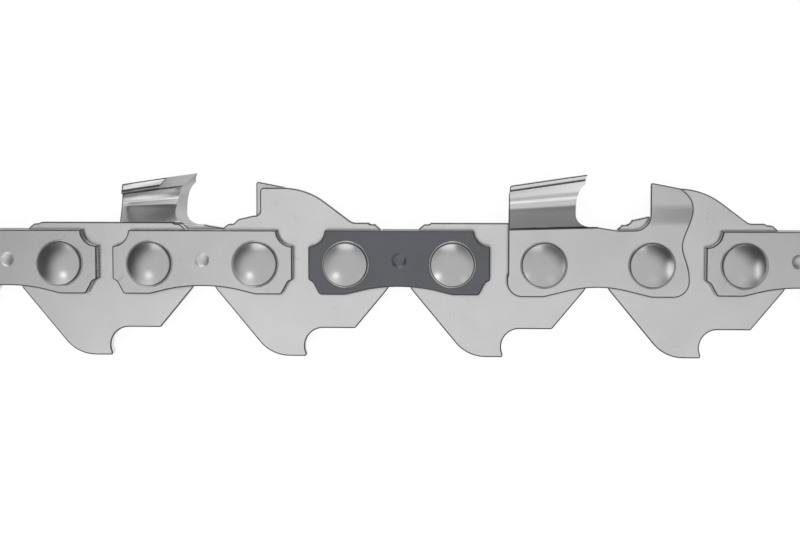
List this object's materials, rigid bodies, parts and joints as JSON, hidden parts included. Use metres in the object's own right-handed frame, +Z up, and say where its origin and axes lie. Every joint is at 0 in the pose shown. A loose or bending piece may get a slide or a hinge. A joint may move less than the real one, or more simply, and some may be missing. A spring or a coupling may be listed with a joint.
{
  "type": "saw chain length",
  "caption": "Straight length of low-profile saw chain: drive links with guide tangs, tie straps and two cutters with depth gauges, riveted so that each pivot turns.",
  "frame": {"origin": "middle of the bounding box in plan, on the surface that the chain lies on", "axes": "+X along the chain in the cutting direction; +Y to the cutting side; +Z up, to the chain's right-hand side"},
  "size_m": [0.111, 0.0174, 0.0064],
  "materials": {
    "drive_steel": "satin, stamped",
    "strap_steel": "satin, stamped",
    "dark_steel": "blued, satin",
    "cutter_chrome": "hard chromed outside, ground front",
    "rivet_steel": "polished domed heads"
  },
  "bodies": {
    "drive_1": {"drive_link_1": "drive_steel"},
    "pair_1": {"tie_strap_right_1": "strap_steel", "tie_strap_left_1": "strap_steel", "rivet_1": "rivet_steel", "rivet_2": "rivet_steel"},
    "drive_2": {"drive_link_2": "drive_steel"},
    "pair_2": {"tie_strap_right_2": "strap_steel", "left_cutter": "cutter_chrome", "rivet_3": "rivet_steel", "rivet_4": "rivet_steel"},
    "drive_3": {"drive_link_3": "drive_steel"},
    "pair_3": {"dark_tie_strap_right_3": "dark_steel", "tie_strap_left_3": "strap_steel", "rivet_5": "rivet_steel", "rivet_6": "rivet_steel"},
    "drive_4": {"drive_link_4": "drive_steel"},
    "pair_4": {"right_cutter": "cutter_chrome", "tie_strap_left_4": "strap_steel", "rivet_7": "rivet_steel", "rivet_8": "rivet_steel"},
    "drive_5": {"drive_link_5": "drive_steel"},
    "pair_5": {"tie_strap_right_5": "strap_steel", "tie_strap_left_5": "strap_steel", "rivet_9": "rivet_steel", "rivet_10": "rivet_steel"},
    "drive_6": {"drive_link_6": "drive_steel"}
  },
  "joints": [
    {"name": "pivot_6", "type": "hinge", "parent": "pair_3", "child": "drive_4", "pos_m": [0.00503, 0.00018, 0.0032], "axis": [0, 0, -1], "range_deg": [-15, 30]},
    {"name": "pivot_7", "type": "hinge", "parent": "drive_4", "child": "pair_4", "pos_m": [0.01361, 0.00018, 0.0032], "axis": [0, 0, -1], "range_deg": [-15, 30]},
    {"name": "pivot_8", "type": "hinge", "parent": "pair_4", "child": "drive_5", "pos_m": [0.02367, 0.00018, 0.0032], "axis": [0, 0, -1], "range_deg": [-15, 30]},
    {"name": "pivot_9", "type": "hinge", "parent": "drive_5", "child": "pair_5", "pos_m": [0.03225, 0.00018, 0.0032], "axis": [0, 0, -1], "range_deg": [-15, 30]},
    {"name": "pivot_10", "type": "hinge", "parent": "pair_5", "child": "drive_6", "pos_m": [0.04231, 0.00018, 0.0032], "axis": [0, 0, -1], "range_deg": [-15, 30]},
    {"name": "pivot_5", "type": "hinge", "parent": "pair_3", "child": "drive_3", "pos_m": [-0.00503, 0.00018, 0.0032], "axis": [0, 0, 1], "range_deg": [-15, 30]},
    {"name": "pivot_4", "type": "hinge", "parent": "drive_3", "child": "pair_2", "pos_m": [-0.01361, 0.00018, 0.0032], "axis": [0, 0, 1], "range_deg": [-15, 30]},
    {"name": "pivot_3", "type": "hinge", "parent": "pair_2", "child": "drive_2", "pos_m": [-0.02367, 0.00018, 0.0032], "axis": [0, 0, 1], "range_deg": [-15, 30]},
    {"name": "pivot_2", "type": "hinge", "parent": "drive_2", "child": "pair_1", "pos_m": [-0.03225, 0.00018, 0.0032], "axis": [0, 0, 1], "range_deg": [-15, 30]},
    {"name": "pivot_1", "type": "hinge", "parent": "pair_1", "child": "drive_1", "pos_m": [-0.04231, 0.00018, 0.0032], "axis": [0, 0, 1], "range_deg": [-15, 30]}
  ]
}
